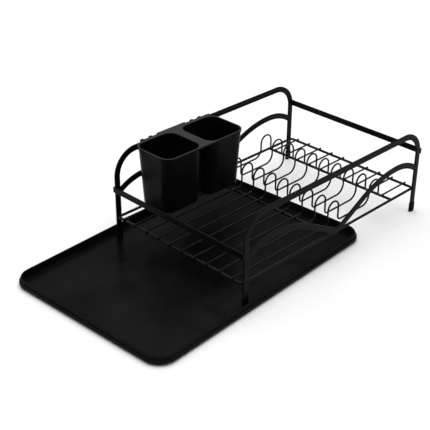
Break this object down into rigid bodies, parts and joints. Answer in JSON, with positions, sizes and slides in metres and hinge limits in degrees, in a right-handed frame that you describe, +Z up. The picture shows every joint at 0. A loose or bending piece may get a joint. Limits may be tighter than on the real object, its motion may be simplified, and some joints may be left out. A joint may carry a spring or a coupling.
{
  "type": "dish drying rack",
  "caption": "Black countertop dish rack of flat steel bar and wire with two rows of plate loops, a two-cup cutlery holder hooked on one rail and a slide-out drip tray.",
  "frame": {"origin": "on the worktop, midway between the two side frames and in line with the front legs", "axes": "+X to the right and +Y to the rear of someone facing the rack's front, where the tray sticks out; +Z up"},
  "size_m": [0.341, 0.6326, 0.1595],
  "materials": {
    "coated_steel": "satin black powder coat on flat steel bar",
    "coated_wire": "satin black powder coat on steel wire",
    "foot_rubber": "matte black moulded rubber",
    "tray_plastic": "fine-textured black moulded plastic",
    "holder_plastic": "smooth matte black moulded plastic"
  },
  "bodies": {
    "rack": {"left_side_frame": "coated_steel", "right_side_frame": "coated_steel", "left_wave_bar": "coated_steel", "right_wave_bar": "coated_steel", "front_crossbar": "coated_steel", "rear_crossbar": "coated_steel", "border_wire": "coated_wire", "middle_cross_wire": "coated_wire", "rear_cross_wire": "coated_wire", "plate_wire_1": "coated_wire", "plate_wire_2": "coated_wire", "plate_wire_3": "coated_wire", "plate_wire_4": "coated_wire", "plate_wire_5": "coated_wire", "plate_wire_6": "coated_wire", "plate_wire_7": "coated_wire", "plate_wire_8": "coated_wire", "plate_wire_9": "coated_wire", "plate_wire_10": "coated_wire", "front_left_foot": "foot_rubber", "front_right_foot": "foot_rubber", "rear_left_foot": "foot_rubber", "rear_right_foot": "foot_rubber"},
    "tray": {"drip_tray": "tray_plastic"},
    "holder": {"cutlery_holder": "holder_plastic"}
  },
  "joints": [
    {"name": "tray_slide", "type": "slide", "parent": "rack", "child": "tray", "axis": [-0.0523, 0.9986, 0], "range_m": [-0.25, 0.135]},
    {"name": "holder_lift", "type": "slide", "parent": "rack", "child": "holder", "axis": [0, 0, 1], "range_m": [0, 0.12]}
  ]
}
